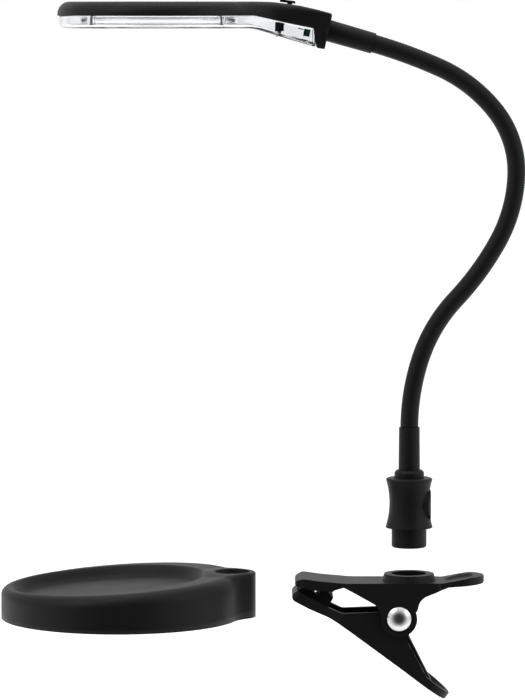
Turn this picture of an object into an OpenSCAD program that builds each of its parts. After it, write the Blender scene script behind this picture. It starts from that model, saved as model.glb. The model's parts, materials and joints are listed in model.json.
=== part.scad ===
// Clip-on reading lamp: a round lens head with a ring of LEDs on a gooseneck,
// whose plug seats in a spring clip or in the socket of a weighted round base.
// Millimetres. Z is up, X runs from the clip's jaw to its handle, Y is across.
// The origin is the centre of the mouth of the clip's socket.
// The lamp is drawn as it is laid out: the plug drawn up out of the clip, the base beside it.

/* [Layout] */
// Height of the plugged arm above its seated place in the clip
plug_lift = 30; // [20:1:40]
// Distance from the clip's socket to the base's socket
base_reach = 115.4; // [110:1:140]
// Height of the base's socket mouth over the clip's socket mouth
base_raise = 1.3; // [-5:0.1:5]

/* [Plug and socket] */
// Radius of the spigot
spigot_r = 11.42; // [9:0.1:12]
// Length of the spigot
spigot_len = 12.6; // [10:0.1:16]
// Radial clearance between the spigot and a socket
socket_gap = 0.08; // [0.02:0.01:0.1]
// Spare depth under a seated spigot
socket_spare = 0.5; // [0.2:0.1:2]

/* [Clip] */
// Width over the upper lever's cheeks
clip_w = 35; // [33:0.5:45]
// Width of the upper jaw
jaw_w = 38; // [36:0.5:50]
// Thickness of a lever's cheek
cheek_t = 3; // [2:0.1:4]
// Clearance between the two levers' cheeks
cheek_gap = 0.3; // [0.2:0.05:0.8]
// Width of the handles
handle_w = 32; // [30:0.5:40]
// Width of the lower jaw
lower_jaw_w = 34; // [30:0.5:40]
// Width of the rubber jaw pads
pad_w = 25; // [16:0.5:27]
// Radius of the rivet's shaft
rivet_r = 3; // [2:0.1:4]
// Radius of the rivet's domed heads
dome_r = 8.4; // [6:0.1:9]
// Height of the rivet's domed heads
dome_h = 3.4; // [2:0.1:5]
// Radius of the ears round the rivet
ear_r = 11.7; // [10.5:0.1:13]
// Radius of the spring's wire
spring_wire_r = 1.1; // [0.8:0.05:1.3]

/* [Collar] */
// Height of the collar's shell
collar_h = 32.7; // [28:0.1:40]
// Radius of the collar's skirt
collar_r = 15.6; // [15:0.1:18]
// Radius of the collar's waist
waist_r = 12.9; // [12.6:0.1:14]
// Wall at the collar's two ends
collar_end_t = 3; // [2:0.1:4]
// Radius of the collar's step ring
step_r = 9.65; // [9:0.1:12]
// Height of the collar's step ring
step_h = 5; // [3:0.1:8]
// Radius of the power inlet's hole
inlet_r = 2.85; // [2.6:0.05:3.2]
// Radius of the power inlet's centre pin
inlet_pin_r = 1.05; // [0.8:0.05:1.25]

/* [Gooseneck] */
// Radius of the neck's sleeve
neck_r = 5.9; // [5.6:0.1:7]
// Radius of the neck's steel core
core_r = 4.9; // [4.6:0.1:5.3]
// Radius of the core's wire passage
passage_r = 2; // [1.8:0.1:2.4]
// Radius of the wires in the passage
lead_r = 1.5; // [1:0.1:1.6]
// Length of one link of the neck
link_len = 45.5; // [40:0.5:55]
// Turn of each link in degrees, from the collar to the head, none of them 0
turns = [-18, -25, 14, 27, 41, 27, 8];
// Length of the lower ferrule above the step ring
lower_ferrule_len = 28; // [20:0.1:40]
// Length of the upper ferrule that shows
upper_ferrule_len = 30; // [25:0.5:40]
// Radius of the ferrules at their root
ferrule_r = 7; // [6.8:0.1:8]

/* [Head] */
// Radius of the head
head_r = 65; // [60:1:75]
// Radius of the lens
lens_r = 50.5; // [45:0.5:56]
// Height of the black shell above the parting line
shell_h = 9; // [8:0.1:12]
// Depth of the clear cover below the parting line
cover_h = 8.1; // [7:0.1:10]
// Wall of the head's shell and cover
head_wall = 2; // [1.5:0.1:2.6]
// Width of the head's neck
head_neck_w = 36; // [32:0.5:44]
// Number of LEDs between two of the head's screws
quarter_leds = 9; // [6:1:12]
// Travel of the switch's slider
switch_travel = 3; // [2:0.5:4]

/* [Base] */
// Radius of the base at its foot
base_r = 78; // [74:0.5:90]
// Radius of the base's dish at its crest
dish_r = 65; // [55:0.5:66]
// Depth of the dish
dish_h = 7; // [4:0.5:8]
// Height of the crest at the dish's centre
crest_h = 24.2; // [23:0.1:32]
// Rise of the crest towards the socket, in degrees
crest_tilt = 3.6; // [2:0.1:4]
// Radius of the socket's post
post_r = 15.4; // [14.5:0.1:18]
// Wall of the base's shell
base_wall = 2.5; // [2:0.1:3]
// Thickness of the base's steel weight
weight_t = 4; // [2:0.5:5]
// Thickness of the base's bottom cover
base_cover_t = 2; // [1.5:0.1:2.5]

/* [Hidden] */
$fn = 64;

// Shared fits
socket_r = spigot_r + socket_gap;
socket_depth = spigot_len + socket_spare;
seat_gap = 0.2;                       // between the seated collar and the socket's mouth
hair = 0.3;                           // between moving faces that aren't a fit
pivot_gap = 0.08;                     // radial clearance of the rivet in the lower lever

// Clip
boss_h = 4.4;
plate_t = 3;
boss_top_r = 16.25;
boss_foot_r = 17.5;
socket_cup_r = socket_r + 2.5;
cup_floor_t = 1.2;
pivot = [-6.8, -27.8];
lever_angle = 36.4;
inner_w = clip_w - 2 * cheek_t;
lower_w = inner_w - 2 * cheek_gap;
lower_cheek_t = cheek_t - 0.2;
dome_recess = 0.8;
coil_r = 5.9;
upper_leg_angle = 43.9;               // of the spring's upper leg from the vertical
upper_leg_len = (-pivot.y - socket_depth - cup_floor_t - hair) / cos(upper_leg_angle)
    - spring_wire_r * tan(upper_leg_angle) - coil_r;
coil_turns = 7;
coil_pitch = 2 * spring_wire_r - 0.1;

// Collar, in heights above the socket's mouth when the plug is seated
stem_r = 6;
stem_top = 6;
inlet_z = 14.9;
inlet_face = 14;
pad_boss_r = 10;
nut_h = 3;
inlet_floor = 4;
inlet_pin_len = 8;
inlet_root_r = inlet_pin_r + 0.35;
step_z = seat_gap + collar_h;
ferrule_top = step_z + step_h + lower_ferrule_len;
nut_z = step_z - collar_end_t - nut_h;

// Gooseneck
rim_gap = 1.6;                        // from a joint's centre to the rims on both sides
ball_r = core_r - 0.7;
cup_r = ball_r + 0.1;
core_tail = 22;
last_link = len(turns) - 1;

// Head, in its own frame: origin at the centre of the ring on the parting line
neck_slope = 16;
neck_end = [139.1, -18];
shell_round = 8;
cover_inset = 1;
cap_x = 101.7;
lens_flange = 2.5;                    // how far the two shells reach in over the lens
lens_edge = 2.5;
lens_bulge = 2.2;
lens_sink = 1.5;                      // of the lens's edge below the parting line
boss_ring_r = (lens_r + head_r) / 2;
screw_angles = [45, 135, 225, 315];
ceiling_z = shell_h - head_wall;
board_t = 1.4;
board_z = ceiling_z - 1 - board_t;
room_round = shell_round - head_wall;
board_r = head_r - shell_round - hair
    + sqrt(pow(room_round, 2) - pow(board_z + board_t - ceiling_z + room_round, 2));
lens_mid = lens_edge / 2 - lens_sink;
lens_gap = 0.05;                      // between the lens's faces and the flanges that hold it
lens_seat = lens_half(lens_r - lens_flange) + lens_gap;
led_margin = 5;                       // degrees from a screw to the first LED
cover_boss = [78.2, 3];               // place and radius of the boss in the neck
stem_from = -0.2;                     // of the slider's stem, from the slider's middle
stem_len = 3.2;
switch_wall = 0.7;
chip_size = [3.5, 2.8, 0.8];
switch_at = [83.5, 7.9];
switch_slope = 7;

// Base, with z measured from the socket's mouth of the clip
base_floor = base_raise - 29.6;
base_c = -base_reach - 72.8;
dish_c = base_c - 8.4;
tilt_z = base_floor + crest_h;
base_round = 6;
draft = 1;
feet_h = 0.7;
base_screw_angles = [60, 180, 300];
base_screw_in = 16;                   // from the base's foot to its screws
base_boss_r = 4;
base_screw_r = 1.5;
base_screw_head = [3, 1.2];           // radius and height
base_screw_len = 6;                   // into the shell
base_inner_r = base_r - base_wall - draft;

function unit(v) = v / norm(v);

// The closed outline p, whose corners [x, y, radius] are turned into arcs
function rounded(p, steps = 5) = [for (i = [0 : len(p) - 1])
    let (n = len(p), b = [p[i].x, p[i].y], r = p[i].z,
         a = [p[(i + n - 1) % n].x, p[(i + n - 1) % n].y],
         c = [p[(i + 1) % n].x, p[(i + 1) % n].y],
         u = unit(a - b), v = unit(c - b), half = acos(u * v) / 2, sweep = 180 - 2 * half,
         mid = b + unit(u + v) * r / sin(half), reach = r / tan(half))
    each (r == 0 ? [b] : [for (k = [0 : steps])
        mid + (sin(sweep * (1 - k / steps)) * (b + u * reach - mid)
             + sin(sweep * k / steps) * (b + v * reach - mid)) / sin(sweep)])];

// An outline in X and Z, carried to a width w across Y
module across(w) rotate([90, 0, 0]) linear_extrude(w, center = true) children();

// A cylinder along Y, centred
module pin_y(r, w) rotate([90, 0, 0]) cylinder(r = r, h = w, center = true);

// A ring or tube
module tube(ro, ri, h) difference() {
    cylinder(r = ro, h = h);
    translate([0, 0, -1]) cylinder(r = ri, h = h + 2);
}

// ---------------------------------------------------------------- clip

module at_pivot() translate([pivot.x, 0, pivot.y]) children();
module lower_frame() at_pivot() rotate([0, lever_angle, 0]) children();

upper_outline = [
    [-74.6, -6.2, 1], [-74.2, -3.2, 2], [-69.5, -1.2, 4], [-58, -2.8, 12], [-40, -boss_h, 10],
    [22, -boss_h, 8], [40, -1, 8], [49, -0.8, 1], [49, -5.6, 1.5], [25.5, -7.2, 4],
    [7, -14.5, 9], [pivot.x + ear_r, pivot.y + 5, 2], [pivot.x, pivot.y, 0],
    [pivot.x - ear_r, pivot.y + 3, 2], [-22, -18.6, 5], [-42.9, -6.9, 2], [-51, -9.4, 4],
    [-62, -8.8, 4]];
jaw_ceiling = [[-71.5, -5.4], [-58, -6.2], [-46, -7.2], [-36, -boss_h - plate_t]];

// Plan of the upper lever: a broad jaw, straight cheeks and an oval handle
module upper_plan() {
    jaw_x = -74.6;
    handle_x = 49;
    polygon(rounded([[jaw_x, -jaw_w / 2, 8], [-44, -jaw_w / 2, 6], [-36, -clip_w / 2, 8],
        [22, -clip_w / 2, 5], [22, clip_w / 2, 5], [-36, clip_w / 2, 8], [-44, jaw_w / 2, 6],
        [jaw_x, jaw_w / 2, 8]]));
    translate([handle_x - handle_w / 2, 0]) circle(r = handle_w / 2);
    translate([14, -handle_w / 2]) square([handle_x - handle_w / 2 - 14, handle_w]);
}

module clip_upper_lever() color("#1c1c1d") difference() {
    union() {
        intersection() {
            across(jaw_w + 2) polygon(rounded(upper_outline));
            translate([0, 0, -60]) linear_extrude(62) upper_plan();
        }
        at_pivot() pin_y(ear_r, clip_w);
        translate([0, 0, -boss_h]) cylinder(r1 = boss_foot_r, r2 = boss_top_r, h = boss_h);
        translate([0, 0, -socket_depth - cup_floor_t]) cylinder(r = socket_cup_r, h = socket_depth);
    }
    // Room between the cheeks, left full round the socket's cup
    difference() {
        across(inner_w) polygon(concat(jaw_ceiling,
            [[21, -boss_h - plate_t], [23, -12], [23, -60], [-71.5, -60]]));
        translate([0, 0, -socket_depth - cup_floor_t]) cylinder(r = socket_cup_r, h = socket_depth);
    }
    translate([0, 0, -socket_depth]) cylinder(r = socket_r, h = socket_depth + 1);
    at_pivot() pin_y(rivet_r, clip_w + 2);
    for (side = [-1, 1])
        translate([pivot.x, side * (clip_w / 2 + 1 - dome_recess), pivot.y])
            pin_y(dome_r + 0.6, 2);
    // Thumb dish in the handle
    translate([33, 0, -3.9]) rotate([0, -10, 0]) cylinder(r1 = 8, r2 = 12.5, h = 3);
}

module upper_jaw_pad() color("#101011") across(pad_w) polygon(concat(
    [[-61, lookup(-61, jaw_ceiling)], [-58, jaw_ceiling[1].y], [-47.5, lookup(-47.5, jaw_ceiling)]],
    [[-49.6, -10.6], [-58.4, -10.6]]));

module rivet_shaft() color("silver") at_pivot() pin_y(rivet_r, clip_w - 2 * dome_recess);

module rivet_domes() color("silver") {
    ball = (dome_r * dome_r + dome_h * dome_h) / (2 * dome_h);
    for (side = [0, 180])
        at_pivot() rotate([0, 0, side]) translate([0, -clip_w / 2 + dome_recess, 0])
            rotate([90, 0, 0]) intersection() {
                translate([0, 0, dome_h - ball]) sphere(r = ball);
                cylinder(r = dome_r, h = dome_h + 1);
            }
}

module spring_coil() color("#3a3a3c") {
    at_pivot() rotate([90, 0, 0]) rotate_extrude() for (k = [0 : coil_turns - 1])
        translate([coil_r, (k - (coil_turns - 1) / 2) * coil_pitch]) circle(r = spring_wire_r);
    // The upper leg bears on the floor of the socket's cup, on the handle's side of the pivot
    translate([pivot.x, -(coil_turns - 1) / 2 * coil_pitch, pivot.y]) rotate([0, upper_leg_angle, 0])
        translate([0, 0, coil_r]) cylinder(r = spring_wire_r - 0.05, h = upper_leg_len);
}

lower_floor = [[-63.2, -28.1], [-51.5, -26.4], [-37.3, -23.4], [-21.8, -22.9]];
lower_outline = [
    [-66.4, -31.6, 3], [-51.5, -29.4, 10], [-37.3, -26.2, 30], [-21.8, -25.9, 20],
    [57, -25.9, 1.5], [57, -21, 1], [37.5, -20.2, 6], [13.5, -9, 5], [10.6, -2.5, 2], [0, 0, 0],
    [-11.5, -3.2, 4], [-31.5, -19.2, 8], [-41.4, -21.3, 8], [-64.2, -24.4, 1]];

// Plan of the lower lever, seen square to its web
module lower_plan() {
    jaw_x = -66.4;
    handle_x = 57;
    polygon(rounded([[jaw_x, -lower_jaw_w / 2, 6], [-40, -lower_jaw_w / 2, 5],
        [-30, -lower_w / 2, 6], [24, -lower_w / 2, 6], [34, -handle_w / 2, 6],
        [44, -handle_w / 2, 0], [44, handle_w / 2, 0], [34, handle_w / 2, 6],
        [24, lower_w / 2, 6], [-30, lower_w / 2, 6], [-40, lower_jaw_w / 2, 5],
        [jaw_x, lower_jaw_w / 2, 6]]));
    translate([handle_x - handle_w / 2, 0]) circle(r = handle_w / 2);
}

module clip_lower_lever() color("#1c1c1d") lower_frame() difference() {
    union() {
        intersection() {
            across(lower_jaw_w + 8) polygon(rounded(lower_outline));
            translate([0, 0, -40]) linear_extrude(60) lower_plan();
        }
        pin_y(ear_r - 1.2, lower_w);
    }
    across(lower_w - 2 * lower_cheek_t) polygon(concat(lower_floor,
        [[33, -22.9], [36, -12], [36, 30], [-63.2, 30]]));
    pin_y(rivet_r + pivot_gap, lower_w + 2);
    // Thumb dish in the handle
    translate([42, 0, -23.3]) cylinder(r1 = 10, r2 = 16, h = 6);
}

module lower_jaw_pad() color("#101011") lower_frame() across(lower_w - 2 * lower_cheek_t)
    polygon([for (p = [0 : 1]) lower_floor[p], [-40.5, lookup(-40.5, lower_floor)],
        [-41.8, -18.2], [-42.3, -14.7], [-46.9, -13.9], [-50.4, -16.5], [-51.7, -21.2],
        [-58.4, -17.9], [-62.6, -21.4], [-63.2, -23]]);

module spring_lower_leg() color("#3a3a3c") lower_frame()
    translate([6.9, 0, -4]) rotate([0, 117, 0]) cylinder(r = spring_wire_r - 0.2, h = 39.4);

// ---------------------------------------------------------------- plug and collar

module lifted() translate([0, 0, plug_lift]) children();

module spigot() color("#1c1c1d") lifted() difference() {
    union() {
        translate([0, 0, -spigot_len]) cylinder(r1 = spigot_r - 0.8, r2 = spigot_r, h = 0.8);
        translate([0, 0, -spigot_len + 0.8]) cylinder(r = spigot_r, h = spigot_len - 0.8);
        cylinder(r = stem_r, h = stem_top);
    }
    translate([0, 0, -spigot_len - 1]) cylinder(r = 7.5, h = spigot_len - 1.5);
    translate([0, 0, 4.6]) tube(stem_r + 1, stem_r - 1, 0.8);
}

module stem_clip() color("silver") lifted() translate([0, 0, 4.6])
    tube(stem_r + 1.5, stem_r - 1, 0.8);

// The collar's side: a shallow hollow curve between the skirt and the top flange
module collar_profile() difference() {
    polygon([[0, seat_gap], [collar_r - 0.5, seat_gap], [collar_r, seat_gap + 0.6],
        [collar_r, step_z - 1.8], [collar_r - 0.9, step_z - 0.4], [collar_r - 2.2, step_z],
        [0, step_z]]);
    bow = 52.7;
    translate([waist_r + bow, seat_gap + collar_h / 2]) circle(r = bow, $fn = 200);
}

module collar_shell() color("#1c1c1d") lifted() difference() {
    union() {
        rotate_extrude() collar_profile();
        intersection() {
            translate([waist_r - 5, 0, inlet_z]) rotate([0, 90, 0])
                cylinder(r = pad_boss_r, h = inlet_face - waist_r + 5);
            translate([0, 0, seat_gap + 0.6]) cylinder(r = collar_r, h = collar_h - 1);
        }
    }
    translate([0, 0, seat_gap + collar_end_t])
        cylinder(r = waist_r - 2, h = collar_h - 2 * collar_end_t);
    translate([0, 0, -1]) cylinder(r = stem_r + pivot_gap, h = collar_end_t + 3);
    translate([0, 0, step_z - collar_end_t - 1]) cylinder(r = ferrule_r, h = collar_end_t + 2);
    translate([5, 0, inlet_z]) rotate([0, 90, 0]) cylinder(r = inlet_r + 1.15, h = 20);
    translate([inlet_face - 1.2, 0, inlet_z]) rotate([0, 90, 0])
        cylinder(r = inlet_r + 2.4, h = 5);
}

module collar_step_ring() color("#1c1c1d") lifted() translate([0, 0, step_z]) difference() {
    union() {
        cylinder(r = step_r, h = step_h - 1.5);
        translate([0, 0, step_h - 1.5]) cylinder(r1 = step_r, r2 = step_r - 1.2, h = 1.5);
    }
    translate([0, 0, -1]) cylinder(r = ferrule_r, h = step_h + 2);
}

module inlet_body() color("#222224") lifted() translate([0, 0, inlet_z]) rotate([0, 90, 0])
    difference() {
        union() {
            translate([0, 0, 1]) cylinder(r = inlet_r + 1.15, h = inlet_face - 1.2);
            translate([0, 0, inlet_face - 1.2]) cylinder(r = inlet_r + 2.4, h = 1);
        }
        translate([0, 0, inlet_floor]) cylinder(r = inlet_r, h = inlet_face);
        cylinder(r = inlet_root_r, h = inlet_floor + 1);
    }

module inlet_pin() color("silver") lifted() translate([0, 0, inlet_z]) rotate([0, 90, 0]) {
    translate([0, 0, 1]) cylinder(r = inlet_root_r, h = inlet_floor - 1);
    translate([0, 0, inlet_floor]) cylinder(r = inlet_pin_r, h = inlet_pin_len);
}

module supply_lead() color("#202020") lifted() translate([0, 0, inlet_z + inlet_r + 1.15 - 0.6])
    difference() {
        cylinder(r = lead_r, h = ferrule_top - (inlet_z + inlet_r + 1.15 - 0.6));
        translate([-1, -5, -1]) cube([4, 10, 1.6]);
    }

module neck_nut() color("silver") lifted() translate([0, 0, nut_z]) difference() {
    cylinder(r = 8, h = nut_h, $fn = 6);
    translate([0, 0, -1]) cylinder(r = core_r, h = nut_h + 2);
}

module lower_ferrule() color("#1c1c1d") lifted() difference() {
    union() {
        translate([0, 0, step_z - collar_end_t]) cylinder(r = ferrule_r, h = collar_end_t + step_h);
        translate([0, 0, step_z + step_h])
            cylinder(r1 = ferrule_r, r2 = ferrule_r - 0.25, h = lower_ferrule_len);
    }
    translate([0, 0, step_z - collar_end_t - 1]) cylinder(r = core_r, h = ferrule_top);
}

// ---------------------------------------------------------------- gooseneck
// Each link is one arc, whose radius comes from its length and its turn.

function bend_r(t) = link_len / (t * PI / 180);
// A link's end, [x, z, heading], from its start
function link_after(p, t) =
    let (m = p[2] + t / 2, chord = 2 * bend_r(t) * sin(t / 2))
    [p[0] + chord * cos(m), p[1] + chord * sin(m), p[2] + t];
function link_start(i) = i == 0 ? [0, plug_lift + ferrule_top, 90]
                                : link_after(link_start(i - 1), turns[i - 1]);

module link_frame(i) {
    p = link_start(i);
    translate([p[0], 0, p[1]]) rotate([0, 90 - p[2], 0]) children();
}

// The frame at a link's end, with Z along the neck
module at_link_end(t) translate([-bend_r(t) * (1 - cos(t)), 0, bend_r(t) * sin(t)])
    rotate([0, -t, 0]) children();

// A section carried along a link's arc, from one length after its start to another
module bent(t, from, to) {
    r = abs(bend_r(t));
    per_mm = 180 / (PI * r);
    mirror([t < 0 ? 1 : 0, 0, 0]) translate([-r, 0, 0]) rotate([90, 0, 0])
        rotate([0, 0, from * per_mm]) rotate_extrude(angle = (to - from) * per_mm)
            translate([r, 0]) children();
}

function link_from(i) = i == 0 ? 0 : rim_gap;
function link_to(i) = i == last_link ? link_len : link_len - rim_gap;

module neck_core(i) color("#77787a") link_frame(i) difference() {
    union() {
        bent(turns[i], link_from(i), link_to(i)) circle(r = core_r);
        if (i < last_link) at_link_end(turns[i]) sphere(r = ball_r);
    }
    bent(turns[i], -1, link_len + ball_r + 1) circle(r = passage_r);
    if (i > 0) sphere(r = cup_r);
}

// The core's plain ends, which the two ferrules grip
module core_end_lower() color("#77787a") lifted() translate([0, 0, nut_z])
    tube(core_r, passage_r, ferrule_top - nut_z);
module core_end_upper() color("#77787a") head_frame() neck_axis()
    tube(core_r, passage_r, core_tail);

module neck_sleeve(i) color("#1a1a1b") link_frame(i) bent(turns[i], link_from(i), link_to(i))
    difference() {
        circle(r = neck_r);
        circle(r = core_r);
    }

module neck_wires(i) color("#303030") link_frame(i)
    bent(turns[i], i == 0 ? 0 : ball_r + 0.4, link_to(i)) circle(r = lead_r);

// ---------------------------------------------------------------- head

module head_frame() {
    p = link_after(link_start(last_link), turns[last_link]);
    translate([p[0], 0, p[1]]) rotate([0, 180 - neck_slope - p[2], 0])
        translate([-neck_end.x, 0, -neck_end.y]) children();
}
// The neck end's own frame, with Z towards the head
module neck_axis() translate([neck_end.x, 0, neck_end.y]) rotate([0, neck_slope - 90, 0]) children();

module upper_ferrule() color("#1c1c1d") head_frame() neck_axis() difference() {
    union() {
        cylinder(r1 = ferrule_r - 0.25, r2 = ferrule_r, h = upper_ferrule_len);
        translate([0, 0, upper_ferrule_len - 1]) cylinder(r = ferrule_r, h = 6);
        translate([0, 0, upper_ferrule_len + 4]) cylinder(r = ferrule_r + 1.4, h = 2);
    }
    translate([0, 0, -1]) cylinder(r = core_r, h = upper_ferrule_len + 10);
}

// Side outlines of the head's neck: the top, the parting line and the clear cover's bottom
neck_top = [[40, shell_h, 0], [72, shell_h, 20], [94, 6.1, 20], [112.4, 1.6, 1.6]];
neck_parting = [[101.5, -8.3, 0], [80.9, -4.2, 0], [63, 0, 0], [40, 0, 0]];
shell_side = concat(neck_top, [[107.2, -21.6, 2], [cap_x, -20.4, 0.8]], neck_parting);
shell_room = [[40, ceiling_z, 0], [72, ceiling_z, 18], [94, 4.1, 18], [109.8, 0.4, 1],
    [105.4, -18.9, 1], [cap_x + 2, -18.4, 0], [cap_x + 2, -30, 0], [40, -30, 0]];
cover_side = [[40, 0, 0], [63, 0, 0], [80.9, -4.2, 0], [101.5, -8.3, 0], [101.5, -20.2, 0.5],
    [61.5, -cover_h, 10], [40, -cover_h, 0]];
cover_room = [[40, 5, 0], [63, 5, 0], [99.7, 5, 0], [99.7, -17.7, 0.5],
    [61.5, head_wall - cover_h, 8], [40, head_wall - cover_h, 0]];

// The ring's outer wall in section, rounded over at its outer edge
module rim_section(r, h, rad, in_r) {
    translate([in_r, 0]) square([r - rad - in_r, h]);
    translate([r - rad - 0.01, 0]) square([rad + 0.01, h - rad]);
    intersection() {
        translate([r - rad, h - rad]) circle(r = rad);
        translate([r - rad - 0.01, h - rad - 0.01]) square(rad + 1);
    }
}

// Plan of the neck, drawn in by inset: it flares into the ring
flare_y = 36;
flare_x = 54;
module neck_plan(inset) {
    half = head_neck_w / 2 - inset;
    side = [[flare_x - 4, flare_y - inset + 1.5, 0], [flare_x, flare_y - inset, 0], [72, half, 25],
        [130, half, 0]];
    translate([0, 0, -40]) linear_extrude(60) polygon(rounded(concat(
        side, [for (k = [len(side) - 1 : -1 : 0]) [side[k].x, -side[k].y, side[k].z]])));
}

module head_shell() color("#1c1c1d") head_frame() difference() {
    union() {
        difference() {
            union() {
                rotate_extrude() rim_section(head_r, shell_h, shell_round, lens_r - lens_flange);
                intersection() {
                    across(2 * flare_y) polygon(rounded([for (p = shell_side)
                        p.x == 40 ? [lens_r + 3, p.y, 0] : p]));
                    neck_plan(0);
                }
            }
            // The ring's channel
            translate([0, 0, -1]) rotate_extrude() difference() {
                rim_section(head_r - head_wall, ceiling_z + 1, shell_round - head_wall, lens_r);
                translate([lens_r, 3 + 1]) square([head_wall, 20]);
            }
            // Room inside the neck
            intersection() {
                across(2 * flare_y) polygon(rounded([for (p = shell_room)
                    p.x == 40 ? [lens_r + 4, p.y, 0] : p]));
                neck_plan(head_wall);
            }
        }
        for (a = screw_angles) rotate([0, 0, a]) translate([boss_ring_r, 0, 0.05])
            cylinder(r = 2.6, h = ceiling_z + 0.45);
        translate([cover_boss.x, 0, -10]) cylinder(r = cover_boss.y, h = 10 + 6.2);
    }
    for (a = screw_angles) rotate([0, 0, a]) translate([boss_ring_r, 0, -cover_h - 1])
        cylinder(r = 1.2, h = cover_h + 6);
    translate([cover_boss.x, 0, -12]) cylinder(r = 1.2, h = 14);
    translate([0, 0, lens_mid - lens_seat]) cylinder(r = lens_r, h = 2 * lens_seat);
    neck_axis() translate([0, 0, 10]) cylinder(r = ferrule_r, h = upper_ferrule_len - 5);
    // Slot for the slider's stem
    switch_frame() translate([stem_from - hair, -1.8, -4])
        cube([stem_len + switch_travel + 2 * hair, 3.6, 8]);
}

module head_cover() color([0.92, 0.93, 0.94, 0.35]) head_frame() difference() {
    union() {
        difference() {
            union() {
                mirror([0, 0, 1]) rotate_extrude()
                    rim_section(head_r - cover_inset, cover_h, 4, lens_r - lens_flange);
                intersection() {
                    across(2 * flare_y) polygon(rounded([for (p = cover_side)
                        p.x == 40 ? [lens_r + 3, p.y, 0] : p]));
                    neck_plan(cover_inset);
                }
            }
            translate([0, 0, 1]) mirror([0, 0, 1]) rotate_extrude()
                rim_section(head_r - cover_inset - head_wall, cover_h - head_wall + 1, 3,
                    lens_r + 1.5);
            translate([0, 0, lens_mid - lens_seat]) cylinder(r = lens_r, h = 2 * lens_seat);
            intersection() {
                across(2 * flare_y) polygon(rounded([for (p = cover_room)
                    p.x == 40 ? [lens_r + 4, p.y, 0] : p]));
                neck_plan(cover_inset + head_wall);
            }
        }
        // Clear pillars round the ring's screws
        for (a = screw_angles) rotate([0, 0, a])
            translate([boss_ring_r, 0, -cover_h + head_wall / 2])
            cylinder(r = 2.6, h = cover_h - head_wall / 2 - 0.05);
    }
    for (a = screw_angles) rotate([0, 0, a]) translate([boss_ring_r, 0, -cover_h - 1]) {
        cylinder(r = 1.4, h = 20);
        cylinder(r = 2.4, h = 2);
    }
    translate([cover_boss.x, 0, -25]) cylinder(r = 1.4, h = 20);
    translate([cover_boss.x, 0, -25]) cylinder(r = 2.4, h = 12.55);
}

// Half the lens's thickness at the distance x from its centre: a shallow parabola
function lens_half(x) = lens_edge / 2 + lens_bulge * (1 - pow(x / lens_r, 2));

module magnifier_lens() color([0.9, 0.95, 1, 0.3]) head_frame() {
    rim = lens_r - 0.1;
    steps = 12;
    translate([0, 0, lens_mid]) rotate_extrude() polygon(concat(
        [for (k = [0 : steps]) [rim * k / steps, lens_half(rim * k / steps)]],
        [for (k = [steps : -1 : 0]) [rim * k / steps, -lens_half(rim * k / steps)]]));
}

module led_board() color("#e9e9e4") head_frame() translate([0, 0, board_z]) difference() {
    cylinder(r = board_r, h = board_t);
    translate([0, 0, -1]) cylinder(r = lens_r + 2.4, h = board_t + 2);
    for (a = screw_angles) rotate([0, 0, a]) translate([boss_ring_r, 0, -1])
        cylinder(r = 2.8, h = board_t + 2);
}

module led_chips() color("#f2d56a") head_frame()
    for (a = screw_angles) for (k = [0 : quarter_leds - 1])
    rotate([0, 0, a + led_margin + (90 - 2 * led_margin) * k / (quarter_leds - 1)])
        translate([boss_ring_r, 0, board_z - chip_size.z / 2]) cube(chip_size, center = true);

// The driver board hangs under the neck's ceiling, along its slope
module board_frame() translate([85.5, 0, -2.6]) rotate([0, 9.5, 0]) children();

module driver_board() color("#2f6b45") head_frame() board_frame() difference() {
    translate([-4.5, -14, 0]) cube([21, 28, 1.2]);
    translate([-7.4, 0, -1]) cylinder(r = cover_boss.y + 0.4, h = 4);
}

module driver_coil() color("#b98b52") head_frame() board_frame() translate([5, 4, -4.4]) {
    cylinder(r = 3.6, h = 0.9);
    translate([0, 0, 0.9]) cylinder(r = 2.9, h = 2.6);
    translate([0, 0, 3.5]) cylinder(r = 3.6, h = 0.9);
}

module driver_parts() color("#c8b98a") head_frame() board_frame() {
    for (x = [-2.5, 1.5]) translate([x, -6, -2]) cube([2.2, 4, 2]);
    translate([8, -8, -5]) cylinder(r = 2.4, h = 5);
    translate([11.5, -3.5, -1.4]) cube([3, 5, 1.4]);
}

module wire_terminal() color("#1f4d3a") head_frame() board_frame() translate([9.8, 3.5, -9])
    cube([4, 8, 9]);

module head_wires() color("#1b1b1b") head_frame() neck_axis() for (y = [-0.8, 0.8])
    translate([0, y, 0]) cylinder(r = 0.7, h = upper_ferrule_len + 9);

module head_screws() color("#3b3b3d") head_frame() {
    for (a = screw_angles) rotate([0, 0, a]) translate([boss_ring_r, 0, -cover_h + 0.1]) {
        cylinder(r = 2.3, h = 0.9);
        cylinder(r = 1.2, h = 13);
    }
    translate([cover_boss.x, 0, -13.4]) cylinder(r = 2.3, h = 0.9);
    translate([cover_boss.x, 0, -13.4]) cylinder(r = 1.2, h = 10);
}

module switch_frame() translate([switch_at.x, 0, switch_at.y]) rotate([0, switch_slope, 0])
    children();

module switch_body() color("#26272a") head_frame() switch_frame() difference() {
    translate([stem_from - hair - switch_wall, -3.2, -6.2])
        cube([stem_len + switch_travel + 2 * (hair + switch_wall), 6.4, 3]);
    translate([stem_from - hair, -1.5, -5.2]) cube([stem_len + switch_travel + 2 * hair, 3, 4]);
}

module switch_slider() color("#1c1c1d") head_frame() switch_frame() {
    translate([0, 0, hair]) intersection() {
        translate([-5, -4, 0]) cube([10, 8, 4]);
        across(10) polygon(rounded([[-5, 0, 0], [5, 0, 0], [5, 1.7, 0.8], [-1.6, 1.7, 0.6],
            [-2.2, 3.6, 0.5], [-5, 3.6, 0.5]]));
    }
    translate([stem_from, -1.2, -4.6]) cube([stem_len, 2.4, 4.6 + hair]);
}

// ---------------------------------------------------------------- base

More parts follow.
